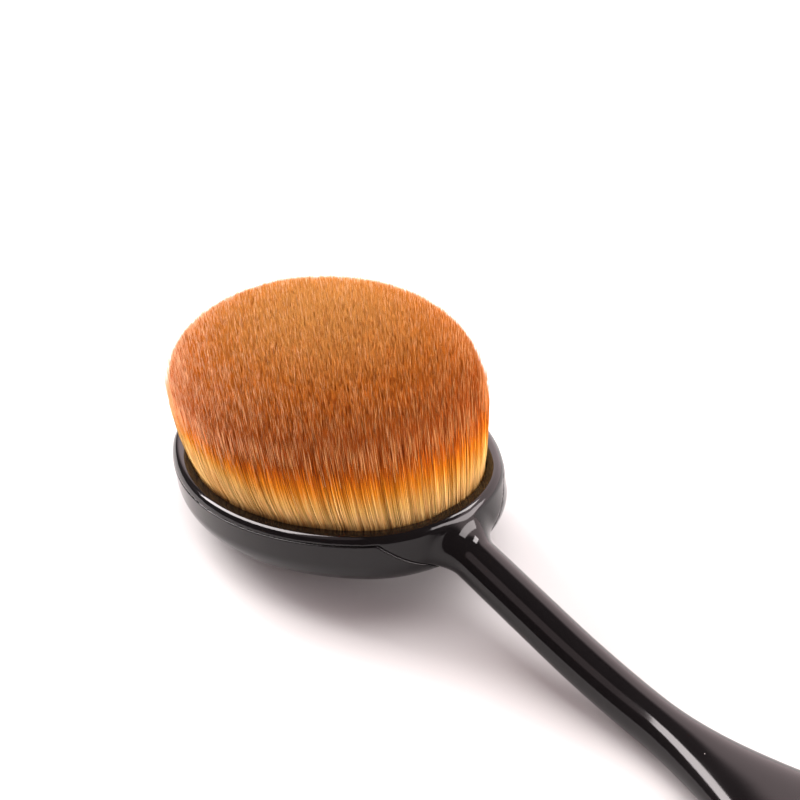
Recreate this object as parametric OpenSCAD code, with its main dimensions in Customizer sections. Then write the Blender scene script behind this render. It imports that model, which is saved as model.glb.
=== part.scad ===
// Oval body and face brush with a flat flared grip.
// Millimetres, +Z up. The brush lies as it does on a table, bristles up: Z = 0 is the table, +X runs
// from the head to the end of the grip, and the brush is symmetric about the plane Y = 0.
// The origin is the middle of the bounding box, at its bottom.

/* [Head] */
// Length of the oval rim
rim_l = 66; // [58:1:80]
// Width of the oval rim
rim_w = 47; // [42:1:54]
// Height of the head, from the rim to its flat bottom
head_h = 9.7; // [9:0.1:12]
// Rounding of the bottom edge of the head
base_r = 4.8; // [3:0.1:6]
// Pitch of the head, its handle side raised
pitch = 8.6; // [4:0.2:12]

/* [Rim] */
// Width of the dark land between the crest and the bristles
land_w = 2.6; // [1.8:0.1:3]
// Rounding of the rim, from its crest down to the parting line
bead_r = 1.7; // [0.8:0.1:1.7]
// Depth of the parting line below the rim
seam_drop = 1.5; // [1.3:0.1:2]
// Half width of the tongue that carries the neck, where it leaves the rim
tongue_y = 12.7; // [10:0.1:14]
// Depth of the tongue below the rim
tongue_drop = 8.1; // [7.5:0.1:8.2]

/* [Back cover] */
// Wall thickness
wall = 1.3; // [1:0.1:1.4]
// Thickness of the floor
floor_t = 1.5; // [1:0.1:1.7]

/* [Bristle tray] */
// Thickness of the tray
tray_t = 0.6; // [0.5:0.1:0.8]
// Depth of the tray's rim below the rim of the head
tray_top = 2; // [1.8:0.1:2.6]
// Space between the tray and the floor of the cover
tray_rise = 1; // [0.6:0.1:1.2]
// Thickness of the resin that holds the filaments
glue_t = 1.8; // [1:0.1:2.5]

/* [Bristles] */
// Height of the dome above the rim
dome_h = 26.4; // [18:0.2:32]
// Flare of the tuft lengthways, as it leaves the rim
flare_l = 0.9; // [0:0.1:1.8]
// Flare of the tuft widthways
flare_w = 3.4; // [0:0.1:4.4]
// Lean of the tuft toward the handle, as a slope
lean = 0.095; // [0:0.005:0.15]

/* [Handle] */
// Diameter of the round neck
neck_d = 7.36; // [6:0.02:8]
// Depth of the neck's centre below the rim where it leaves the head
neck_drop = 7.9; // [7.6:0.1:8.4]
// Radius of the long upward bend
bend_r = 140; // [130:1:190]
// Length of the handle beyond the head
handle_l = 106; // [90:1:120]
// Width of the grip
grip_w = 23; // [16:0.5:26]
// Thickness of the grip at its end
grip_t = 4.4; // [3:0.1:6]

/* [Hidden] */
gap = 0.06;
$fn = 72;

black = [0.05, 0.05, 0.055];
tray_grey = [0.32, 0.32, 0.33];
resin = [0.85, 0.78, 0.55];
filament = [0.72, 0.38, 0.16];

// The oval: two end arcs and two long side arcs that meet in line. Their centres stand on 3-4-5
// triangles, so the points where they meet are round numbers.
a = rim_l / 2;
b = rim_w / 2;
third = (a - b) / 2;
end_x = 3 * third;
side_y = 4 * third;
end_r = a - end_x;
side_r = b + side_y;

// Offsets from the crest of the rim are outward; depths run down from the crest.
skirt = 0.12;
land_drop = 0.3;
spigot_t = 0.6;
spigot_drop = 3.3;
tongue_r = (tongue_y ^ 2 + (tongue_drop - seam_drop) ^ 2) / (2 * (tongue_drop - seam_drop));
tray_out = -land_w - 0.1;
tray_floor = head_h - floor_t - tray_rise;
glue_top = tray_floor - tray_t - glue_t;

// Height of the rim's centre: the rounded far edge of the head touches the table.
head_z = base_r + (head_h - base_r) * cos(pitch) + (a + skirt - base_r) * sin(pitch);

// The handle's course runs along s from the root of the neck: straight down, then a long upward bend.
// The neck slopes just enough for the underside of the grip to touch the table.
neck_r = neck_d / 2;
root_x = (a + 1) * cos(pitch) + neck_drop * sin(pitch);
root_z = head_z + (a + 1) * sin(pitch) - neck_drop * cos(pitch);
bend_s = 18.4;
grip_s = 38;
flare_s = 47;
thin_s = 52;
thin_l = 34;
tip_s = 16;
root_s = -3.1;
root_fillet = 1.3;
contact_t = 0.914;
neck_slope = (sqrt(bend_s ^ 2 + 2 * bend_r * (root_z - contact_t * neck_r)) - bend_s) / bend_r;
span = [-(a + skirt - bead_r) * cos(pitch) + bead_r * sin(pitch) - bead_r, root_x + handle_l];
mid_x = (span[0] + span[1]) / 2;

function ease(t) = let (c = min(max(t, 0), 1)) c * c * (3 - 2 * c);
function course(s) = root_z - neck_slope * s + max(s - bend_s, 0) ^ 2 / (2 * bend_r);
function root_flare(s) = let (t = min(s - root_s, root_fillet))
    root_fillet - sqrt(root_fillet ^ 2 - (root_fillet - t) ^ 2);

// The grip's section goes from round to a flat rounded box as it widens.
squareness = 0.6;
// Its end is rounded in plan, and a little in thickness.
tip_w_min = 0.06;
tip_t_min = 0.25;
tip_t_power = 0.6;

// Rounded plan of the grip's end: 1 along the grip, falling to 0 at its tip.
function tip(s) = let (t = max(s - handle_l + tip_s, 0) / tip_s) sqrt(max(1 - t * t, 0));
function half_w(s) =
    (neck_r + (grip_w / 2 - neck_r) * ease((s - grip_s) / flare_s)) * max(tip(s), tip_w_min)
    + root_flare(s);
function half_t(s) =
    (neck_r - (neck_r - grip_t / 2) * ease((s - thin_s) / thin_l)) * max(tip(s) ^ tip_t_power, tip_t_min);
function corner(s) = 2 + squareness * ease((s - grip_s) / flare_s);

// Lowers the handle until its underside touches the table.
settle = min([for (s = [bend_s:0.5:handle_l - 2 * tip_s]) course(s) - half_t(s)]);

// A closed tube through rings of n points each.
function tube_faces(rings, n) = concat(
    [[for (j = [0:n - 1]) j]],
    [[for (j = [n - 1:-1:0]) (rings - 1) * n + j]],
    [for (i = [0:rings - 2], j = [0:n - 1]) let (k = (j + 1) % n)
        each [[i * n + j, (i + 1) * n + j, (i + 1) * n + k], [i * n + j, (i + 1) * n + k, i * n + k]]]
);

function signed_pow(v, e) = sign(v) * abs(v) ^ e;

// Point of the oval whose outward normal points along t degrees.
function oval_point(t, off) = let (c = cos(t), s = sin(t))
    abs(s) > 0.8 ? [(side_r + off) * c, (side_r + off) * s - side_y * sign(s)]
                 : [end_x * sign(c) + (end_r + off) * c, (end_r + off) * s];

// The dome of the tuft: its outline shrinks slowly up its side and quickly over its top.
dome_power = 4.64;
dome_root = 0.561;
dome_levels = 17;
dome_bunch = 1.7;
flare_h = 8;
tuft_play = 0.15;

// Moves a thing drawn about the rim's centre, rim level, into the resting pose.
module in_head() {
    translate([-mid_x, 0, head_z]) rotate([0, -pitch, 0]) children();
}

// Carries a section round the oval. Its x is the offset from the crest, its y the height above it,
// and a section that fills the oval starts at x = -$reach.
module round_oval() {
    near = [end_x, side_y];
    far = near + [3, 4] * 15;
    for (turn = [0, 180]) rotate(turn) {
        arc([end_x, 0], end_r, [[0, 0], far - near, [far[0] - near[0], near[1] - far[1]]]) children();
        arc([0, -side_y], side_r, [[-near[0], near[1]], near, far, [-far[0], far[1]]]) children();
    }
}

module arc(centre, r, zone) {
    $reach = r;
    translate(centre) intersection() {
        rotate_extrude() translate([r, 0]) children();
        translate([0, 0, -2 * head_h]) linear_extrude(4 * head_h) polygon(zone);
    }
}

// Cutter that rounds a corner of a section; the corner is at the origin, the material to its lower left.
module round_off(r) {
    difference() {
        translate([-r, -r]) square(r + 1);
        translate([-r, -r]) circle(r);
    }
}

// Section that fills the oval out to an offset, between two depths.
module slab(off, top, bottom) {
    translate([-$reach, -bottom]) square([$reach + off, bottom - top]);
}

// The same with a rounded bottom edge.
module pan(off, top, bottom, r) {
    difference() {
        slab(off, top, bottom);
        translate([off, -bottom]) mirror([0, 1]) round_off(r);
    }
}

// Section of the rim: sloping land, rounded crest, and the spigot that the cover snaps over.
module rim_section() {
    difference() {
        polygon([
            [-land_w, -land_drop], [max(skirt - bead_r, 0.1 - land_w), 0], [skirt, 0], [skirt, -seam_drop],
            [spigot_t - land_w, -seam_drop], [spigot_t - land_w, -spigot_drop], [-land_w, -spigot_drop]
        ]);
        translate([skirt, 0]) round_off(bead_r);
    }
}

// The part of the head that belongs to the neck: a round-bottomed tongue, and a slot through the
// bottom edge for the neck's root. It grows by g.
module tongue_zone(g) {
    deep = 8;
    slot = neck_r + root_fillet + 0.1 + g;
    slot_h = head_h - 4;
    translate([a - deep - g, 0, tongue_r - tongue_drop]) rotate([0, 90, 0])
        cylinder(r = tongue_r + g, h = 2.5 * deep);
    translate([a - 1, 0, -head_h - 3]) {
        cylinder(r = slot, h = slot_h);
        translate([0, -slot, 0]) cube([deep + 2, 2 * slot, slot_h]);
    }
}

// It grips the cover's inside with a foot under the tray.
module tongue() {
    foot = 6;
    intersection() {
        round_oval() difference() {
            pan(skirt, seam_drop - 0.3, head_h, base_r);
            translate([skirt, 0]) round_off(bead_r);
            slab(-land_w, 0, tray_floor + gap);
            slab(-foot, 0, head_h + 1);
        }
        tongue_zone(0);
    }
}

module grip() {
    n = 36;
    tip_steps = 12;
    stations = concat(
        [for (k = [0:5]) root_s + k * root_fillet / 5],
        [for (s = [0:4:grip_s - 1]) s],
        [for (s = [grip_s:2.25:handle_l - tip_s]) s],
        [for (k = [1:tip_steps]) handle_l - tip_s * (1 - sin(k * 90 / tip_steps))]
    );
    ring = [for (j = [0:n - 1]) (j + 0.5) * 360 / n];
    points = [for (s = stations, t = ring) [
        root_x + s,
        half_w(s) * signed_pow(cos(t), 2 / corner(s)),
        course(s) - settle + half_t(s) * signed_pow(sin(t), 2 / corner(s))
    ]];
    polyhedron(points, tube_faces(len(stations), n), convexity = 4);
}

module handle_moulding() {
    color(black) {
        in_head() {
            round_oval() rim_section();
            tongue();
        }
        translate([-mid_x, 0, 0]) grip();
    }
}

module back_cover() {
    color(black) in_head() {
        difference() {
            round_oval() difference() {
                pan(skirt, seam_drop + gap, head_h, base_r);
                pan(skirt - wall, 0, head_h - floor_t, base_r - wall);
            }
            tongue_zone(gap);
        }
        tray_feet();
    }
}

// Four posts on the cover's floor that carry the tray.
module tray_feet() {
    foot_d = 3;
    sunk = 0.2;
    for (x = [-a, a], y = [-b, b])
        translate([x / 2, y / 2, -head_h + floor_t - sunk]) cylinder(d = foot_d, h = tray_rise - gap + sunk);
}

module bristle_tray() {
    color(tray_grey) in_head() round_oval() difference() {
        slab(tray_out, tray_top, tray_floor);
        slab(tray_out - tray_t, 0, tray_floor - tray_t);
    }
}

module glue_bed() {
    color(resin) in_head() round_oval()
        slab(tray_out - tray_t - gap, glue_top, tray_floor - tray_t - gap);
}

// The tuft as one soft dome: straight in the tray, flared above the rim, leaning to the handle.
module bristles() {
    n = 56;
    root = -glue_top + gap;
    first = -0.2;
    last = dome_h - 0.25;
    levels = concat(
        [root, -tray_top],
        [for (k = [0:dome_levels]) first + (last - first) * (1 - (1 - k / dome_levels) ^ dome_bunch)]
    );
    function at_rim(z) = z < first ? tray_out - tray_t - tuft_play : -land_w - 0.2;
    function shrink(z) = z < 0 ? 1 : max(1 - (z / dome_h) ^ dome_power, 0.001) ^ dome_root;
    function swell(z, full, size) = z < 0 ? 1 : 1 + full * (1 - exp(-z / flare_h)) / size;
    points = [for (z = levels, j = [0:n - 1])
        let (p = oval_point(j * 360 / n, at_rim(z)), g = shrink(z)) [
            p[0] * g * swell(z, flare_l, a - land_w) + lean * max(z, 0),
            p[1] * g * swell(z, flare_w, b - land_w),
            z
        ]];
    color(filament) in_head() polyhedron(points, tube_faces(len(levels), n), convexity = 2);
}

handle_moulding();
back_cover();
bristle_tray();
glue_bed();
bristles();
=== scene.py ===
# Oval body brush: gloss black rim, neck and flared grip, gloss black back cover, and a dense domed
# tuft of two-tone filament. Lengths in this script are millimetres until a mesh is made.
import math

import bpy
import numpy as np
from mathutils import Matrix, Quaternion, Vector


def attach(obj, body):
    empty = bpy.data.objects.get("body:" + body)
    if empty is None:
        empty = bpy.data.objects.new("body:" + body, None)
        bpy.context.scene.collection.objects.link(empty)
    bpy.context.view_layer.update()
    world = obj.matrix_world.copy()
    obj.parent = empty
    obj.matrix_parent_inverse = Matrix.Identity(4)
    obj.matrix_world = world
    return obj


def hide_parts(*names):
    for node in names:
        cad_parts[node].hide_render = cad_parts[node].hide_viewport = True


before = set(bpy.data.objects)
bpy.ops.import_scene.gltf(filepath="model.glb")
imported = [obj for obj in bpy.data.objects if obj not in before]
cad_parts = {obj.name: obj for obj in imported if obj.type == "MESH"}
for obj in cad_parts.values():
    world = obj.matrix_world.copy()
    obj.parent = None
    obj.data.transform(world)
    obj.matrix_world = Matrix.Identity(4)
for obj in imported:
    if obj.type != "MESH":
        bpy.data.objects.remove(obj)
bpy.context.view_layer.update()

MM = 0.001

# ---------------------------------------------------------------- sizes shared with the CAD model
RIM_L, RIM_W = 66.0, 47.0
HEAD_H, BASE_R = 9.7, 4.8
PITCH = math.radians(8.6)
LAND_W, LAND_DROP, BEAD_R = 2.6, 0.3, 1.7
SKIRT, SEAM_DROP, SEAM_GAP = 0.12, 1.5, 0.07
TONGUE_Y, TONGUE_DROP = 12.7, 8.1
WALL, FLOOR_T = 1.3, 1.5
TRAY_FLOOR = 7.2
NECK_R, NECK_DROP = 3.68, 7.9
BEND_R, BEND_S = 140.0, 18.4
HANDLE_L, GRIP_W, GRIP_T = 106.0, 23.0, 4.4
GRIP_S, FLARE_S, THIN_S, THIN_L, TIP_S = 38.0, 47.0, 52.0, 34.0, 16.0
ROOT_S = -3.1
CONTACT_T = 0.914
SQUARENESS = 0.6
TIP_W_MIN, TIP_T_MIN, TIP_T_POWER = 0.06, 0.25, 0.6
SPIGOT_T, SPIGOT_DROP, SPIGOT_TOP = 0.8, 3.3, 1.0
TONGUE_IN, TONGUE_TOP = 8.0, 0.3
FOOT_IN = 6.0
POST_R, POST_SPACING, POST_SUNK = 1.5, 0.5, 0.5

# Radii of edges and fillets: the root of the neck, plain edges, the rim's crest, the posts.
ROOT_BLEND, EDGE_R, CREST_R, POST_BLEND = 3.2, 0.12, 0.5, 0.4

# The oval is four arcs whose centres stand on 3-4-5 triangles.
HALF_L, HALF_W = RIM_L / 2, RIM_W / 2
THIRD = (HALF_L - HALF_W) / 2
END_X, SIDE_Y = 3 * THIRD, 4 * THIRD
END_R, SIDE_R = HALF_L - END_X, HALF_W + SIDE_Y
JOIN_SINE = 0.8
TONGUE_R = (TONGUE_Y**2 + (TONGUE_DROP - SEAM_DROP) ** 2) / (2 * (TONGUE_DROP - SEAM_DROP))

COS_P, SIN_P = math.cos(PITCH), math.sin(PITCH)
HEAD_Z = BASE_R + (HEAD_H - BASE_R) * COS_P + (HALF_L + SKIRT - BASE_R) * SIN_P
ROOT_X = (HALF_L + 1) * COS_P + NECK_DROP * SIN_P
ROOT_Z = HEAD_Z + (HALF_L + 1) * SIN_P - NECK_DROP * COS_P
SLOPE = (math.sqrt(BEND_S**2 + 2 * BEND_R * (ROOT_Z - CONTACT_T * NECK_R)) - BEND_S) / BEND_R
SPAN = (-(HALF_L + SKIRT - BEAD_R) * COS_P + BEAD_R * SIN_P - BEAD_R, ROOT_X + HANDLE_L)
MID_X = (SPAN[0] + SPAN[1]) / 2

# ---------------------------------------------------------------- sizes of the tuft
DOME_H = 26.4
LEAN = 0.095
FLARE_L, FLARE_W, FLARE_H = 0.9, 3.4, 8.0
TUFT_OFF = -LAND_W - 0.2
DOME_POWER, DOME_ROOT = 4.64, 0.561
CORE_H, CORE_IN = 24.9, 0.95
CORE_FOOT, CORE_ROOT = -3.4, -1.5
SIDE_FOOT = -1.9

# For each kind of filament: the seeds scattered for one piece of the tuft, of which some are dropped,
# the band of the oval they stand in, as shares of the way out, and the number of pieces.
SIDE_SEEDS, SIDE_BAND, SIDE_PIECES = 6750, (0.9, 1.0), 4
TOP_SEEDS, TOP_BAND, TOP_PIECES = 17500, (0.0, 0.96), 5
FUZZ_SEEDS, FUZZ_BAND, FUZZ_PIECES = 24000, (0.0, 1.0), 2

# The pale band rises by this slope from a place near the handle end, over a run towards the far end.
# It does so from just above the foot, and fades out below the dome.
BAND_TILT, BAND_START, BAND_RUN = 0.24, 14.0, 24.0
BAND_FOOT, BAND_TOP, BAND_FADE = 1.2, 16.0, 8.0

# A filament's tone goes from 0, dark, to this, light. Above it lie the stray tips, paler upwards, whose
# lighter colour is painted glow of backlight through them.
FUZZ_TONE = 0.9
TONE_MIDDLE, TONE_LEAST, TONE_MOST = 0.46, 0.08, FUZZ_TONE - 0.03
# The inside of the tuft takes darker tones than the filaments' middle one: painted shade between the
# filaments.
CORE_SHADE_TONES = (0.24, 0.32)
FUZZ_START, FUZZ_RANGE = FUZZ_TONE + 0.02, 0.07
UV_FOOT, UV_RISE = 4.0, DOME_H + 6


# ---------------------------------------------------------------- frames of reference
def to_part(p):
    """Points of the head's frame (rim centre, rim level) in the part's frame."""
    u, v, w = p[..., 0], p[..., 1], p[..., 2]
    return np.stack([u * COS_P - w * SIN_P - MID_X, v, u * SIN_P + w * COS_P + HEAD_Z], -1)


def rim_centre():
    """The middle of the rim in metres, which the camera and the lights are placed from."""
    return Vector((-MID_X * MM, 0.0, HEAD_Z * MM))


# ---------------------------------------------------------------- shape of the head, neck and grip
def ease(t):
    """Smooth step from 0 to 1."""
    c = np.clip(t, 0, 1)
    return c * c * (3 - 2 * c)


def oval_offset(u, v):
    """Distance outward from the crest of the rim, seen from above."""
    au, av = np.abs(u), np.abs(v)
    end = np.hypot(au - END_X, av) - END_R
    side = np.hypot(au, av + SIDE_Y) - SIDE_R
    return np.where(3 * av <= 4 * (au - END_X), end, side)


def both(a, b, r=0.0):
    """Inside a and b, with the edge between them rounded by r."""
    if r == 0:
        return np.maximum(a, b)
    corner = np.hypot(np.maximum(a + r, 0), np.maximum(b + r, 0))
    return np.minimum(np.maximum(a, b), -r) + corner


def either(a, b, r=0.0):
    """Inside a or b, with the inside corner between them filleted by r."""
    return -both(-a, -b, r)


def pan(d, w, off, bottom, r):
    """Everything within an offset of the oval and above a depth, its lower edge rounded."""
    return both(d - off, -bottom - w, r)


def rim_field(d, w):
    """Section of the rim: a land that rises to the crest, a quarter round down to the parting line,
    and a spigot inside the cover."""
    round_ = both(d - SKIRT, w, BEAD_R)
    rise = LAND_DROP / (LAND_W + SKIRT - BEAD_R)
    land = (w + LAND_DROP) - rise * (d + LAND_W)
    top = both(round_, both(land, -LAND_W - d, EDGE_R), CREST_R)
    ring = both(top, -SEAM_DROP - w, EDGE_R)
    spigot = both(both(-LAND_W - d, d + LAND_W - SPIGOT_T), both(-SPIGOT_DROP - w, w + SPIGOT_TOP))
    return either(ring, spigot)


def tongue_zone(u, v, w):
    """A round trough under the root of the neck, where the handle moulding dips into the cover."""
    barrel = np.hypot(v, w - (TONGUE_R - TONGUE_DROP)) - TONGUE_R
    return both(barrel, HALF_L - TONGUE_IN - u, EDGE_R)


def course(s):
    """Height of the handle's axis along the neck and the grip, before it is lowered onto the table."""
    return ROOT_Z - SLOPE * s + np.maximum(s - BEND_S, 0) ** 2 / (2 * BEND_R)


def half_thickness(s):
    return NECK_R - (NECK_R - GRIP_T / 2) * ease((s - THIN_S) / THIN_L)


def grip_field(u, v, w):
    """The neck and the grip: a round section that flares, thins and squares up towards the end."""
    x = u * COS_P - w * SIN_P
    z = u * SIN_P + w * COS_P + HEAD_Z
    s = x - ROOT_X
    t = np.clip((s - HANDLE_L + TIP_S) / TIP_S, 0, 0.9999)
    tip = np.sqrt(1 - t * t)
    flare = ease((s - GRIP_S) / FLARE_S)
    half_w = (NECK_R + (GRIP_W / 2 - NECK_R) * flare) * np.maximum(tip, TIP_W_MIN)
    half_t = half_thickness(s) * np.maximum(tip**TIP_T_POWER, TIP_T_MIN)
    power = 2 + SQUARENESS * flare
    across = np.abs(v / half_w) ** power
    upward = np.abs((z - course(s) + SETTLE) / half_t) ** power
    tube = ((across + upward) ** (1 / power) - 1) * half_t
    return both(both(tube, ROOT_S - s), s - HANDLE_L)


def settle_height():
    """How far the handle's course is lowered so that its underside touches the table."""
    s = np.arange(BEND_S, HANDLE_L - 2 * TIP_S, 0.5)
    return float(np.min(course(s) - half_thickness(s)))


SETTLE = settle_height()


def handle_field(p):
    """The handle moulding: rim, tongue, neck and grip."""
    u, v, w = p[..., 0], p[..., 1], p[..., 2]
    d = oval_offset(u, v)
    shell = both(both(d - SKIRT, w, BEAD_R), pan(d, w, SKIRT, HEAD_H, BASE_R))
    hollow = either(both(d + LAND_W, -TRAY_FLOOR - w), d + FOOT_IN)
    tongue = both(both(shell, -hollow), tongue_zone(u, v, w), EDGE_R)
    tongue = both(tongue, w + SEAM_DROP - TONGUE_TOP)
    head = either(rim_field(d, w), tongue)
    return either(head, grip_field(u, v, w), ROOT_BLEND)


def cover_field(p):
    """The back cover: a pan under the rim, four posts that carry the tray, and room for the handle."""
    u, v, w = p[..., 0], p[..., 1], p[..., 2]
    d = oval_offset(u, v)
    outer = both(pan(d, w, SKIRT, HEAD_H, BASE_R), w + SEAM_DROP + SEAM_GAP, EDGE_R)
    inner = pan(d, w, SKIRT - WALL, HEAD_H - FLOOR_T, BASE_R - WALL)
    shell = both(outer, -inner)
    for side_u in (-POST_SPACING, POST_SPACING):
        for side_v in (-POST_SPACING, POST_SPACING):
            foot = np.hypot(u - side_u * HALF_L, v - side_v * HALF_W) - POST_R
            post = both(foot, both(w + TRAY_FLOOR + SEAM_GAP, -HEAD_H + POST_SUNK - w))
            shell = either(shell, post, POST_BLEND)
    return both(shell, SEAM_GAP - handle_field(p), EDGE_R)


# ---------------------------------------------------------------- meshing
def sampled(field, axes, cell):
    """The field on a grid. Slabs are first tried coarsely, and only the part near the surface is
    worked out in full. Everywhere else counts as outside."""
    values = np.ones([len(a) for a in axes], np.float32)
    slab, skip = 24, 4  # grid cells
    reach = 2.0 * skip * max(cell)
    for i in range(0, len(axes[0]), slab):
        tried = [axes[0][i : i + slab + 1][:: skip - 1], axes[1][::skip], axes[2][::skip]]
        near = np.abs(field(np.stack(np.meshgrid(*tried, indexing="ij"), -1))) < reach
        if not near.any():
            continue
        part = [slice(i, i + slab)]
        for axis, others in ((1, (0, 2)), (2, (0, 1))):
            hit = np.flatnonzero(near.any(others))
            part.append(slice(max((hit[0] - 1) * skip, 0), (hit[-1] + 2) * skip))
        used = [a[s] for a, s in zip(axes, part)]
        values[tuple(part)] = field(np.stack(np.meshgrid(*used, indexing="ij"), -1))
    return values


def surface_of(field, low, high, cell):
    """Points and four-sided faces on the zero surface of a field, one point per grid cell it crosses.
    The cell may be finer along one axis than another."""
    low = np.array(low, float)
    cell = np.array(cell, float)
    count = np.ceil((np.array(high) - low) / cell).astype(int) + 1
    axes = [low[i] + cell[i] * np.arange(count[i]) for i in range(3)]
    values = sampled(field, axes, cell)
    inside = values < 0
    corner_in = np.zeros(count - 1, np.int8)
    for i in (0, 1):
        for j in (0, 1):
            for k in (0, 1):
                corner_in += inside[i : count[0] - 1 + i, j : count[1] - 1 + j, k : count[2] - 1 + k]
    cells = np.argwhere((corner_in > 0) & (corner_in < 8))
    index = np.full(count - 1, -1, np.int64)
    index[tuple(cells.T)] = np.arange(len(cells))
    total = np.zeros((len(cells), 3))
    hits = np.zeros(len(cells))
    for axis in range(3):
        side_a, side_b = [k for k in range(3) if k != axis]
        for da in (0, 1):
            for db in (0, 1):
                start = cells.copy()
                start[:, side_a] += da
                start[:, side_b] += db
                end = start.copy()
                end[:, axis] += 1
                v0 = values[tuple(start.T)].astype(float)
                v1 = values[tuple(end.T)].astype(float)
                cross = (v0 < 0) != (v1 < 0)
                t = np.where(cross, v0 / np.where(cross, v0 - v1, 1), 0)
                point = start.astype(float)
                point[:, axis] += t
                total += point * cross[:, None]
                hits += cross
    points = low + cell * total / hits[:, None]
    faces = []
    for axis in range(3):
        side_a, side_b = [(1, 2), (2, 0), (0, 1)][axis]
        here = [slice(None)] * 3
        there = [slice(None)] * 3
        here[axis], there[axis] = slice(0, -1), slice(1, None)
        turn = np.argwhere(inside[tuple(here)] != inside[tuple(there)])
        turn = turn[(turn[:, side_a] > 0) & (turn[:, side_b] > 0)]
        turn = turn[(turn[:, side_a] < count[side_a] - 1) & (turn[:, side_b] < count[side_b] - 1)]
        quad = []
        for da, db in ((-1, -1), (0, -1), (0, 0), (-1, 0)):
            around = turn.copy()
            around[:, side_a] += da
            around[:, side_b] += db
            quad.append(index[tuple(around.T)])
        quad = np.stack(quad, 1)
        leaving = inside[tuple(turn.T)]
        faces.append(np.where(leaving[:, None], quad, quad[:, ::-1]))
    return settle_on(field, points, min(cell)), np.concatenate(faces)


def gradient(field, points, step=0.02):
    """Slope of a field by central differences."""
    out = np.empty_like(points)
    for axis in range(3):
        shift = np.zeros(3)
        shift[axis] = step
        out[:, axis] = (field(points + shift) - field(points - shift)) / (2 * step)
    return out


def settle_on(field, points, cell):
    """Moves points onto the surface, never further than a set share of a cell."""
    passes, most_move, least_slope = 4, 0.6, 0.05
    start = points.copy()
    for _ in range(passes):
        slope = gradient(field, points)
        size = np.maximum((slope**2).sum(1), least_slope)
        points = points - slope * (field(points) / size)[:, None]
        move = points - start
        far = np.linalg.norm(move, axis=1)
        points = start + move * np.minimum(1, most_move * cell / np.maximum(far, 1e-9))[:, None]
    return points


def make_mesh(name, points, faces, material, replaces=()):
    """An object of equal-sided faces, from points in millimetres in the part's frame."""
    faces = np.asarray(faces)
    mesh = bpy.data.meshes.new(name)
    mesh.vertices.add(len(points))
    mesh.vertices.foreach_set("co", (np.asarray(points) * MM).astype(np.float32).ravel())
    sides = faces.shape[1]
    mesh.loops.add(faces.size)
    mesh.loops.foreach_set("vertex_index", faces.astype(np.int32).ravel())
    mesh.polygons.add(len(faces))
    mesh.polygons.foreach_set("loop_start", np.arange(0, faces.size, sides, dtype=np.int32))
    mesh.polygons.foreach_set("use_smooth", np.ones(len(faces), bool))
    mesh.update(calc_edges=True)
    mesh.validate()
    mesh.materials.append(material)
    piece = bpy.data.objects.new(name, mesh)
    bpy.context.scene.collection.objects.link(piece)
    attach(piece, "root")
    if replaces:
        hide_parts(*replaces)
    return piece


# ---------------------------------------------------------------- tuft
def dome_shrink(z):
    """Share of its outline that the tuft still has at a height: 1 at the foot, 0 at the top."""
    return np.maximum(1 - (np.clip(z, 0, DOME_H) / DOME_H) ** DOME_POWER, 0.0) ** DOME_ROOT


def dome_height(share):
    """Height of the dome over a point this share of the way out from the middle."""
    return DOME_H * np.maximum(1 - np.clip(share, 0, 1) ** (1 / DOME_ROOT), 0.0) ** (1 / DOME_POWER)


def oval_point(t, off):
    """Points of the oval, moved outward by an offset. At each angle the arc is the one it belongs to."""
    c, s = np.cos(t), np.sin(t)
    side = np.stack([(SIDE_R + off) * c, (SIDE_R + off) * s - SIDE_Y * np.sign(s)], -1)
    end = np.stack([END_X * np.sign(c) + (END_R + off) * c, (END_R + off) * s], -1)
    return np.where((np.abs(s) > JOIN_SINE)[..., None], side, end)


def spread(root, z):
    """Where a filament with this foot has got to at a height: the tuft flares and leans."""
    rise = np.maximum(z, 0)
    open_ = 1 - np.exp(-rise / FLARE_H)
    long_ = root[..., 0] * (1 + FLARE_L * open_ / (HALF_L - LAND_W)) + LEAN * rise
    wide = root[..., 1] * (1 + FLARE_W * open_ / (HALF_W - LAND_W))
    return np.stack([long_, wide, z], -1)


def ripple(points, rng, scale, octaves=4):
    """Smooth random field over the plane, about -1 to 1."""
    total = np.zeros(points.shape[:-1])
    for k in range(octaves):
        for _ in range(3):
            angle, phase = rng.uniform(0, 2 * math.pi, 2)
            way = np.array([math.cos(angle), math.sin(angle)]) * 2 * math.pi * 1.9**k / scale
            total += np.sin(points[..., 0] * way[0] + points[..., 1] * way[1] + phase) / 1.5**k
    return total / 3


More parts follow.
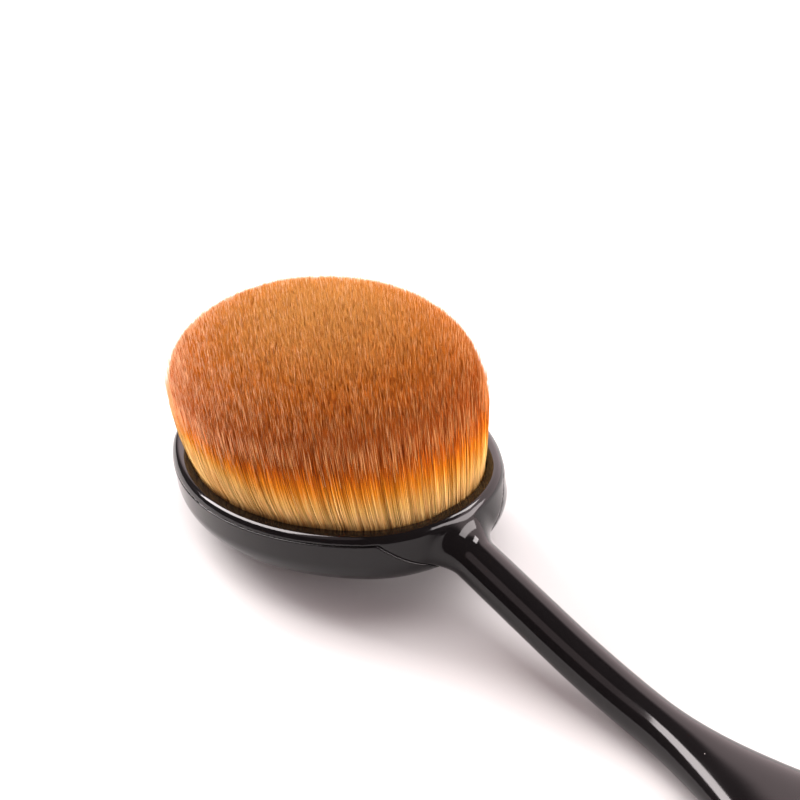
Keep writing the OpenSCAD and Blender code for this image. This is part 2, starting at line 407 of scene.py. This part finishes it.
def make_core(material):
    """The dense inside of the tuft, a little smaller than the tuft itself. It has darker tones than the
    filaments: painted shade deep between them.
    """
    turns, rows, crowding = 120, 40, 1.6
    lump_h, lump_l = 0.12, 4.0
    smallest = 0.004
    t = np.arange(turns) * 2 * math.pi / turns
    rng = np.random.default_rng(5)
    rise = 1 - (1 - np.linspace(0, 1, rows)) ** crowding
    z = np.concatenate([[CORE_FOOT, CORE_ROOT], CORE_H * rise])
    rings = []
    for level in z:
        share = min(max(level, 0), CORE_H * 0.99999) / CORE_H
        inset = CORE_IN * max(float(dome_shrink(share * DOME_H)), smallest)
        ring = spread(oval_point(t, TUFT_OFF) * inset, np.full(turns, level))
        if level > 0:
            ring[:, 2] += lump_h * ripple(ring[:, :2] + level, rng, lump_l, 2)
        rings.append(ring)
    points = np.concatenate(rings)
    j = np.arange(turns)
    k = (j + 1) % turns
    first = np.arange(len(z) - 1)[:, None] * turns
    quads = np.stack([first + j, first + k, first + turns + k, first + turns + j], -1).reshape(-1, 4)
    foot, top = len(points), len(points) + 1
    points = np.concatenate([points, [[0, 0, z[0]], [LEAN * z[-1], 0, z[-1]]]])
    last = (len(z) - 1) * turns
    foot_cap = np.stack([np.full(turns, foot), k, j], 1)
    top_cap = np.stack([np.full(turns, top), last + j, last + k], 1)
    tris = np.concatenate([quads[:, [0, 1, 2]], quads[:, [0, 2, 3]], foot_cap, top_cap])
    piece = make_mesh("tuft_core", to_part(points), tris, material, ["bristles"])
    tone = np.tile(np.linspace(*CORE_SHADE_TONES, turns), len(z))
    tone = np.concatenate([tone, [0.28, 0.28]])  # the middle tone at the two caps
    give_uv(piece, tris, np.stack([tone, rise_to_v(paint_height(points))], 1))


def paint_height(points):
    """The height that sets a filament's colour: the pale foot reaches higher away from the handle."""
    z = points[:, 2]
    rise = BAND_TILT * np.clip(BAND_START - points[:, 0], 0, BAND_RUN)
    fade = np.clip((BAND_TOP - z) / BAND_FADE, 0, 1)
    return np.maximum(z - rise * fade, np.minimum(z, BAND_FOOT))


def rise_to_v(z):
    return np.clip((z + UV_FOOT) / UV_RISE, 0.001, 0.999)


def give_uv(piece, faces, per_point):
    """Each point's tone and paint height, which the filament's material reads."""
    layer = piece.data.uv_layers.new(name="OFBake")
    layer.data.foreach_set("uv", per_point[faces].astype(np.float32).ravel())


def strand_set(name, root, z0, z1, thick, tone, bow, segments, material):
    """Closed tapered filaments, three-sided, from height z0 to a pointed tip at z1."""
    n, sides = len(root), 3
    taper_share, bow_power = 0.55, 1.5
    share = np.linspace(0, 1, segments + 1)
    z = z0[:, None] + (z1 - z0)[:, None] * share
    centre = spread(root[:, None, :] * np.ones((1, segments + 1, 1)), z)
    bend = (np.maximum(z, 0) / DOME_H) ** bow_power
    centre[..., 0] += bow[:, 0:1] * bend
    centre[..., 1] += bow[:, 1:2] * bend
    taper = 1 - taper_share * share**2
    spin = np.random.default_rng(len(name)).uniform(0, 2 * math.pi, n)
    rings = []
    for k in range(sides):
        angle = spin + k * 2 * math.pi / sides
        ring = centre[:, :-1].copy()
        ring[..., 0] += (np.cos(angle) * thick)[:, None] * taper[:-1]
        ring[..., 1] += (np.sin(angle) * thick)[:, None] * taper[:-1]
        rings.append(ring)
    body = np.stack(rings, 2)  # strand, level, side
    per = segments * sides + 1
    points = np.concatenate([body.reshape(n, segments * sides, 3), centre[:, -1:]], 1).reshape(-1, 3)
    faces = [[0, 2, 1]]
    for i in range(segments - 1):
        for j in range(sides):
            k = (j + 1) % sides
            a, b = i * sides + j, i * sides + k
            faces.append([a, b, b + sides])
            faces.append([a, b + sides, a + sides])
    last = (segments - 1) * sides
    for j in range(sides):
        faces.append([last + j, last + (j + 1) % sides, per - 1])
    faces = (np.array(faces)[None] + (np.arange(n) * per)[:, None, None]).reshape(-1, 3)
    piece = make_mesh(name, to_part(points), faces, material)
    side_shift = np.concatenate([np.tile([-0.008, 0.0, 0.008], segments), [0.0]])
    tone_uv = np.clip(tone[:, None] + side_shift, 0.0, 1.0).ravel()
    give_uv(piece, faces, np.stack([tone_uv, rise_to_v(paint_height(points))], 1))


def seed_roots(rng, n, inner, outer):
    """Feet spread evenly over a band of the oval, with their share of the way out."""
    t = rng.uniform(0, 2 * math.pi, n)
    # even in area: the side arcs are longer than their angle says
    radius = np.where(np.abs(np.sin(t)) > JOIN_SINE, SIDE_R, END_R) / SIDE_R
    t = t[rng.uniform(0, 1, n) < radius]
    share = np.sqrt(rng.uniform(inner**2, outer**2, len(t)))
    return oval_point(t, TUFT_OFF) * share[:, None], share


def scatter(rng, n, sigma):
    """How far each tip strays sideways, in two directions."""
    return np.stack([rng.normal(0, sigma, n), rng.normal(0, sigma, n)], 1)


def tones(rng, clump, sigma, clump_share):
    """Tones round the middle one, some of it shared by whole clumps."""
    tone = TONE_MIDDLE + sigma * rng.normal(0, 1, len(clump)) + clump_share * clump
    return np.clip(tone, TONE_LEAST, TONE_MOST)


def outward(root):
    return root / np.linalg.norm(root, axis=1)[:, None]


def make_side(name, rng, material):
    """Long filaments from the foot that make the sides, and lean in where they pass the dome."""
    clump_size, unevenness, least_height, lean_in = 3.0, 0.5, (9.5, 13), 3.0
    root, share = seed_roots(rng, SIDE_SEEDS, *SIDE_BAND)
    n = len(root)
    clump = ripple(root, rng, clump_size)
    dome = dome_height(share)
    z1 = np.maximum(dome + rng.normal(0, unevenness, n), rng.uniform(*least_height, n))
    bow = scatter(rng, n, 0.3) + 0.25 * clump[:, None]
    bow = bow - outward(root) * (lean_in * np.maximum(z1 - dome, 0) / DOME_H)[:, None]
    tone = tones(rng, clump, 0.15, 0.09)
    thick = rng.uniform(0.035, 0.08, n)
    strand_set(name, root, np.full(n, SIDE_FOOT), z1, thick, tone, bow, 7, material)


def make_top(name, rng, material):
    """Short filaments whose tips make the dome."""
    clump_size, proud, unevenness, length = 4.0, 0.25, 0.2, (3.0, 4.5)
    root, share = seed_roots(rng, TOP_SEEDS, *TOP_BAND)
    n = len(root)
    clump = ripple(root, rng, clump_size)
    z1 = dome_height(share) + proud + rng.normal(0, unevenness, n) + 0.08 * clump
    z0 = z1 - rng.uniform(*length, n)
    bow = scatter(rng, n, 0.3) + 0.2 * clump[:, None]
    tone = tones(rng, clump, 0.09, 0.05)
    thick = rng.uniform(0.035, 0.075, n)
    strand_set(name, root, z0, z1, thick, tone, bow, 3, material)


def make_fuzz(name, rng, material):
    """Fine stray tips that stand a little proud, mostly round the edge, and soften the outline. They are
    closer towards the far end of the head, and paler there, which is painted glow of backlight at the
    outline."""
    least_height, proud, length = (11, 16), (0.3, 1.4), (3.5, 5.0)
    spray, lean_in = (0.0, 0.55), 2.4
    root, share = seed_roots(rng, FUZZ_SEEDS, *FUZZ_BAND)
    far = 0.5 - 0.5 * root[:, 0] / HALF_L
    keep = rng.uniform(0, 1, len(root)) < (0.08 + 0.92 * share**4) * (0.55 + 0.9 * far)
    root, share, far = root[keep], share[keep], far[keep]
    n = len(root)
    dome = dome_height(share)
    z1 = np.maximum(dome, rng.uniform(*least_height, n)) + rng.uniform(*proud, n)
    z0 = z1 - rng.uniform(*length, n)
    over = np.maximum(z1 - dome, 0) / DOME_H
    bow = scatter(rng, n, 0.25)
    bow += outward(root) * (rng.uniform(*spray, n) - lean_in * over)[:, None]
    # Painted light: tips towards the far end are paler, standing in for backlight glowing through them.
    backlit_paleness = np.clip(1.3 * far - 0.15 + rng.normal(0, 0.15, n), 0, 1)
    tone = FUZZ_START + FUZZ_RANGE * backlit_paleness
    thick = rng.uniform(0.018, 0.034, n)
    strand_set(name, root, z0, z1, thick, tone, bow, 3, material)


def make_tuft(material):
    """Every filament of the tuft, in a few pieces of each kind."""
    rng = np.random.default_rng(11)
    kinds = (
        ("side", make_side, SIDE_PIECES),
        ("top", make_top, TOP_PIECES),
        ("fuzz", make_fuzz, FUZZ_PIECES),
    )
    for kind, make, pieces in kinds:
        for number in range(pieces):
            make(f"tuft_{kind}_{number + 1}", rng, material)


# ---------------------------------------------------------------- materials
class Nodes:
    """A short way to write a node material."""

    def __init__(self, name):
        self.material = bpy.data.materials.new(name)
        self.material.use_nodes = True
        self.tree = self.material.node_tree
        self.shader = self.tree.nodes["Principled BSDF"]

    def add(self, kind, **inputs):
        node = self.tree.nodes.new("ShaderNode" + kind)
        for key, value in inputs.items():
            if key in node.inputs:
                node.inputs[key].default_value = value
            else:
                setattr(node, key, value)
        return node

    def link(self, source, target):
        self.tree.links.new(source, target)

    def place(self):
        """The object's own coordinates, in metres."""
        return self.add("TexCoord").outputs["Object"]

    def noise(self, scale, detail=3.0, rough=0.5):
        """Smooth noise over the object, about 0 to 1."""
        node = self.add("TexNoise", Scale=scale, Detail=detail, Roughness=rough)
        self.link(self.place(), node.inputs["Vector"])
        return node.outputs["Fac"]

    def ramp(self, source, stops):
        """A colour for a value, from a table of places and colours."""
        node = self.add("ValToRGB")
        ramp = node.color_ramp
        while len(ramp.elements) < len(stops):
            ramp.elements.new(0.5)
        for element, (at, colour) in zip(ramp.elements, stops):
            element.position = at
            element.color = (*colour, 1)
        self.link(source, node.inputs["Fac"])
        return node.outputs["Color"]

    def scaled(self, source, low, high, start=0.0, stop=1.0):
        """A value taken from the range start to stop into the range low to high."""
        node = self.add("MapRange")
        node.inputs["From Min"].default_value = start
        node.inputs["From Max"].default_value = stop
        node.inputs["To Min"].default_value = low
        node.inputs["To Max"].default_value = high
        self.link(source, node.inputs["Value"])
        return node.outputs["Result"]

    def math(self, operation, a, b):
        """An operation on two values, each of them a number or an output."""
        node = self.add("Math", operation=operation)
        for socket, value in zip(node.inputs, (a, b)):
            if isinstance(value, (int, float)):
                socket.default_value = value
            else:
                self.link(value, socket)
        return node.outputs[0]

    def mix(self, share, first, second):
        """A blend of two colours, each of them a colour or an output."""
        node = self.add("Mix", data_type="RGBA")
        self.link(share, node.inputs["Factor"])
        for socket, value in ((node.inputs[6], first), (node.inputs[7], second)):
            if isinstance(value, tuple):
                socket.default_value = (*value, 1)
            else:
                self.link(value, socket)
        return node.outputs[2]

    def bump(self, height, strength, distance):
        """Fine relief on the shader's surface."""
        node = self.add("Bump", Strength=strength, Distance=distance)
        self.link(height, node.inputs["Height"])
        self.link(node.outputs["Normal"], self.shader.inputs["Normal"])


def gloss_black():
    """Moulded gloss black plastic: faint flow waviness, handling haze and specks of dust."""
    cells_per_metre, speck_size, least_noise = 420.0, 0.06, 0.66
    n = Nodes("gloss_black")
    waves = n.noise(90.0, 2.0)
    haze = n.noise(45.0, 5.0, 0.6)
    base = n.mix(haze, (0.0032, 0.0028, 0.003), (0.006, 0.005, 0.0054))
    specks = n.add("TexVoronoi", feature="F1", Scale=cells_per_metre)
    n.link(n.place(), specks.inputs["Vector"])
    keep = n.math("GREATER_THAN", n.noise(260.0, 1.0), least_noise)
    dust = n.math("MULTIPLY", n.math("LESS_THAN", specks.outputs["Distance"], speck_size), keep)
    n.link(n.mix(dust, base, (0.32, 0.3, 0.29)), n.shader.inputs["Base Color"])
    rough = n.scaled(haze, 0.05, 0.15, 0.3, 0.75)
    n.link(n.math("ADD", rough, n.math("MULTIPLY", dust, 0.5)), n.shader.inputs["Roughness"])
    n.shader.inputs["IOR"].default_value = 1.35
    n.bump(waves, 0.12, 0.0003)
    return n.material


def matte_tray():
    """Dark grey moulded plastic with a fine spark-eroded grain."""
    n = Nodes("matte_tray")
    grain = n.noise(2600.0, 3.0)
    patches = n.noise(120.0, 4.0)
    n.link(n.mix(patches, (0.055, 0.055, 0.06), (0.09, 0.09, 0.095)), n.shader.inputs["Base Color"])
    n.link(n.scaled(grain, 0.45, 0.7), n.shader.inputs["Roughness"])
    n.bump(grain, 0.35, 0.00005)
    return n.material


def amber_resin():
    """Set resin, amber, with small bubbles and a wicked-up ripple round the filaments."""
    n = Nodes("amber_resin")
    cloud = n.noise(180.0, 4.0)
    bubbles = n.add("TexVoronoi", feature="F1", Scale=900.0)
    n.link(n.place(), bubbles.inputs["Vector"])
    n.link(n.mix(cloud, (0.42, 0.27, 0.09), (0.62, 0.45, 0.2)), n.shader.inputs["Base Color"])
    n.link(n.scaled(cloud, 0.12, 0.3), n.shader.inputs["Roughness"])
    n.bump(bubbles.outputs["Distance"], 0.3, 0.0001)
    return n.material


# Colour of the filament by height above the rim in millimetres, in linear light. Below about a
# millimetre up it darkens, to dark brown at the hidden foot: painted shade where the filaments go down
# into the rim.
FILAMENT = (
    (-3.0, (0.22, 0.08, 0.02)),
    (-0.2, (0.72, 0.42, 0.14)),
    (1.2, (0.95, 0.62, 0.25)),
    (4.0, (0.98, 0.60, 0.16)),
    (7.0, (0.98, 0.36, 0.024)),
    (10.0, (0.80, 0.20, 0.016)),
    (12.5, (0.53, 0.118, 0.018)),
    (17.0, (0.47, 0.114, 0.016)),
    (22.0, (0.455, 0.136, 0.016)),
    (26.6, (0.51, 0.235, 0.06)),
)
# Colours of the stray tips, lighter than the filament round them: painted glow of backlight through the
# tips, the pale one towards the far end.
FUZZ = (0.8, 0.42, 0.15)
BACKLIT_FUZZ_PALE = (0.93, 0.68, 0.45)
# How far up or down a filament's colours may be from the table above.
COLOUR_SPREAD = 3.4


def two_tone_filament():
    """Fine synthetic filament: cream at the foot, orange, then reddish brown, paler at the tips. Each
    filament changes colour at its own height and has its own tone. The stray tips are lighter still,
    which is painted backlit glow."""
    n = Nodes("two_tone_filament")
    where = n.add("UVMap", uv_map="OFBake")
    split = n.add("SeparateXYZ")
    n.link(where.outputs["UV"], split.inputs[0])
    tone, level = split.outputs["X"], split.outputs["Y"]
    jitter = n.scaled(tone, COLOUR_SPREAD / UV_RISE, -COLOUR_SPREAD / UV_RISE)
    at = n.math("ADD", level, jitter)
    stops = [(float(rise_to_v(np.array(z))), colour) for z, colour in FILAMENT]
    colour = n.ramp(at, stops)
    shade = n.scaled(tone, 0.35, 1.5, 0.05, 0.87)
    darker = n.add("Mix", data_type="RGBA", blend_type="MULTIPLY")
    darker.inputs["Factor"].default_value = 1.0
    grey = n.add("CombineColor")
    for k in range(3):
        n.link(shade, grey.inputs[k])
    n.link(colour, darker.inputs[6])
    n.link(grey.outputs[0], darker.inputs[7])
    # The stray tips take the lighter colours above instead: painted backlit glow, paler towards the far
    # end.
    is_fuzz = n.scaled(tone, 0.0, 0.8, FUZZ_TONE - 0.01, FUZZ_TONE + 0.01)
    backlit_paleness = n.scaled(tone, 0.0, 1.0, FUZZ_START, FUZZ_START + FUZZ_RANGE)
    fuzz = n.mix(backlit_paleness, FUZZ, BACKLIT_FUZZ_PALE)
    n.link(n.mix(is_fuzz, darker.outputs[2], fuzz), n.shader.inputs["Base Color"])
    n.link(n.scaled(tone, 0.5, 0.75), n.shader.inputs["Roughness"])
    n.shader.inputs["Specular IOR Level"].default_value = 0.03
    n.bump(n.noise(5200.0, 2.0), 0.1, 0.00002)
    return n.material


def pale_floor():
    """Plain matt white card with very faint clouds."""
    n = Nodes("pale_floor")
    soft = n.noise(3.0, 2.0)
    n.link(n.mix(soft, (0.52, 0.51, 0.51), (0.54, 0.53, 0.53)), n.shader.inputs["Base Color"])
    n.link(n.scaled(soft, 0.75, 0.9), n.shader.inputs["Roughness"])
    n.shader.inputs["Specular IOR Level"].default_value = 0.1
    return n.material


# ---------------------------------------------------------------- stage, camera and light
CAMERA_PLACE = (231.1, -163.7, 206.9)
CAMERA_AZIMUTH, CAMERA_ELEVATION, CAMERA_ROLL = 52.33, 35.04, 3.60
CAMERA_LENS = 96.1

# What the gloss mirrors: a white sweep behind, which ends at a height, and a faint round panel
# overhead. The matt surfaces only get the even fill.
SWEEP_AZIMUTH, SWEEP_LIGHT = 178, 2.8
SWEEP_FADE = (0.1, 0.45)
SWEEP_TOP, SWEEP_FULL = 57, 44
PANEL_WAY, PANEL_LIGHT = (-24, 51), 0.95
PANEL_EDGE, PANEL_CORE = 16, 12
ROOM_LIGHT = 0.1
FILL_LIGHT = 0.85
STUDIO_TINT = (1.0, 0.81, 0.82, 1)


def make_floor(material):
    """A wide flat table top at Z = 0."""
    size, steps = 3.0, 24
    line = np.linspace(-size, size, steps + 1) / MM
    points = np.stack([*np.meshgrid(line, line, indexing="ij"), np.zeros((steps + 1, steps + 1))], -1)
    corner = np.arange(steps)[:, None] * (steps + 1) + np.arange(steps)
    corner = corner.ravel()
    faces = np.stack([corner, corner + steps + 1, corner + steps + 2, corner + 1], 1)
    mesh = bpy.data.meshes.new("floor")
    mesh.from_pydata((points.reshape(-1, 3) * MM).tolist(), [], faces.tolist())
    mesh.materials.append(material)
    floor = bpy.data.objects.new("floor", mesh)
    bpy.context.scene.collection.objects.link(floor)


def toward(azimuth, elevation):
    """Direction of a compass bearing and height. Azimuth 0 looks to -Y and 90 to +X."""
    a, e = math.radians(azimuth), math.radians(elevation)
    return (math.sin(a) * math.cos(e), -math.cos(a) * math.cos(e), math.sin(e))


def make_camera():
    """Camera at the photograph's viewing angle: from the head's left front, 35 degrees up."""
    camera = bpy.data.objects.new("camera", bpy.data.cameras.new("camera"))
    bpy.context.scene.collection.objects.link(camera)
    bpy.context.scene.camera = camera
    place = rim_centre() + Vector(CAMERA_PLACE) * MM
    camera.rotation_mode = "QUATERNION"
    way = -Vector(toward(CAMERA_AZIMUTH, CAMERA_ELEVATION))
    roll = Quaternion((0, 0, 1), math.radians(-CAMERA_ROLL))
    camera.location = place
    camera.rotation_quaternion = way.to_track_quat("-Z", "Y") @ roll
    camera.data.sensor_width = 36.0
    camera.data.lens = CAMERA_LENS
    camera.data.clip_start, camera.data.clip_end = 0.01, 20.0


def softbox(name, azimuth, elevation, distance, size, power, colour, mirrored, roll=0.0):
    """A soft rectangular light aimed at the rim. Azimuth is where it stands, seen from the head.
    A mirrored one is a card that only shows in gloss, and the others only light what is matt."""
    way = Vector(toward(azimuth, elevation))
    light = bpy.data.lights.new(name, "AREA")
    light.shape = "RECTANGLE"
    light.size, light.size_y = size
    light.energy = power
    light.color = colour
    lamp = bpy.data.objects.new(name, light)
    lamp.location = rim_centre() + way * distance
    lamp.rotation_mode = "QUATERNION"
    spin = Quaternion((0, 0, 1), math.radians(roll))
    lamp.rotation_quaternion = (-way).to_track_quat("-Z", "Y") @ spin
    lamp.visible_diffuse = not mirrored
    lamp.visible_glossy = mirrored
    bpy.context.scene.collection.objects.link(lamp)


def make_sky():
    """The studio round the object: dim, with a white sweep behind and a faint panel overhead."""
    world = bpy.data.worlds.new("studio")
    bpy.context.scene.world = world
    world.use_nodes = True
    tree = world.node_tree
    background = tree.nodes["Background"]
    coord = tree.nodes.new("ShaderNodeTexCoord").outputs["Generated"]

    def lobe(direction, none_at, full_at, strength):
        """Light that grows from nothing to full strength as the view nears a direction."""
        dot = tree.nodes.new("ShaderNodeVectorMath")
        dot.operation = "DOT_PRODUCT"
        dot.inputs[1].default_value = direction
        tree.links.new(coord, dot.inputs[0])
        fade = tree.nodes.new("ShaderNodeMapRange")
        fade.interpolation_type = "SMOOTHSTEP"
        for socket, value in zip(fade.inputs[1:5], (none_at, full_at, 0.0, strength)):
            socket.default_value = value
        tree.links.new(dot.outputs["Value"], fade.inputs["Value"])
        return fade.outputs["Result"]

    def join(operation, first, second):
        node = tree.nodes.new("ShaderNodeMath")
        node.operation = operation
        for socket, value in zip(node.inputs, (first, second)):
            if isinstance(value, float):
                socket.default_value = value
            else:
                tree.links.new(value, socket)
        return node.outputs[0]

    behind = lobe(toward(SWEEP_AZIMUTH, 0), *SWEEP_FADE, SWEEP_LIGHT)
    top, full = math.radians(SWEEP_TOP), math.radians(SWEEP_FULL)
    below_top = lobe((0, 0, -1), -math.sin(top), -math.sin(full), 1.0)
    sweep = join("MULTIPLY", behind, below_top)
    edge, core = math.radians(PANEL_EDGE), math.radians(PANEL_CORE)
    panel = lobe(toward(*PANEL_WAY), math.cos(edge), math.cos(core), PANEL_LIGHT)
    mirrored = join("ADD", join("ADD", sweep, panel), ROOM_LIGHT - FILL_LIGHT)
    in_gloss = tree.nodes.new("ShaderNodeLightPath").outputs["Is Glossy Ray"]
    total = join("ADD", join("MULTIPLY", mirrored, in_gloss), FILL_LIGHT)
    tree.links.new(total, background.inputs["Strength"])
    background.inputs["Color"].default_value = STUDIO_TINT


def make_light():
    """Three soft boxes light what is matt: behind and above, left, and low on the right. Three cards
    show in the gloss: on the root of the neck, on the rim's handle end, and along the rim's left."""
    make_sky()
    white, warm = (1.0, 0.98, 0.97), (1.0, 0.97, 0.96)
    rosy, rosier = (1.0, 0.93, 0.93), (1.0, 0.92, 0.92)
    softbox("key_light", 176, 68, 1.1, (1.3, 1.3), 22.0, white, mirrored=False)
    softbox("left_light", -85, 27, 1.1, (0.7, 0.7), 37.0, warm, mirrored=False)
    softbox("right_light", 122, 16, 1.1, (0.7, 0.4), 7.5, warm, mirrored=False)
    softbox("root_card", 165, 55, 1.1, (0.3, 0.46), 9, rosy, mirrored=True)
    softbox("end_card", 125, 31, 1.2, (1.3, 0.45), 20, rosier, mirrored=True, roll=-35)
    softbox("left_card", -64, 39, 1.2, (0.92, 0.5), 32, rosier, mirrored=True, roll=42)
    bpy.context.scene.view_settings.view_transform = "Standard"


# ---------------------------------------------------------------- the object
# Grid cells that the moulded parts are meshed with. Each mesh stays under 200,000 triangles.
HANDLE_CELL = (0.32, 0.32, 0.18)
COVER_CELL = (0.332, 0.332, 0.166)


def make_handle(material):
    """Rim, tongue, neck and grip in one moulding."""
    low = (-HALF_L - 1, -HALF_W - 1, -37.0)
    high = (HALF_L + HANDLE_L + 6, HALF_W + 1, 0.8)
    points, faces = surface_of(handle_field, low, high, HANDLE_CELL)
    make_mesh("handle_rim_neck_grip", to_part(points), faces, material, ["handle_moulding"])


def make_cover(material):
    """The shell that closes the head from below."""
    low = (-HALF_L - 1, -HALF_W - 1, -HEAD_H - 0.9)
    high = (HALF_L + 1, HALF_W + 1, 0.2)
    points, faces = surface_of(cover_field, low, high, COVER_CELL)
    make_mesh("cover_shell", to_part(points), faces, material, ["back_cover"])


black = gloss_black()
filament = two_tone_filament()
make_handle(black)
make_cover(black)
make_core(filament)
make_tuft(filament)

for node, material in (("bristle_tray", matte_tray()), ("glue_bed", amber_resin())):
    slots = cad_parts[node].data.materials
    slots.clear()
    slots.append(material)

make_floor(pale_floor())
make_camera()
make_light()

bpy.context.view_layer.update()
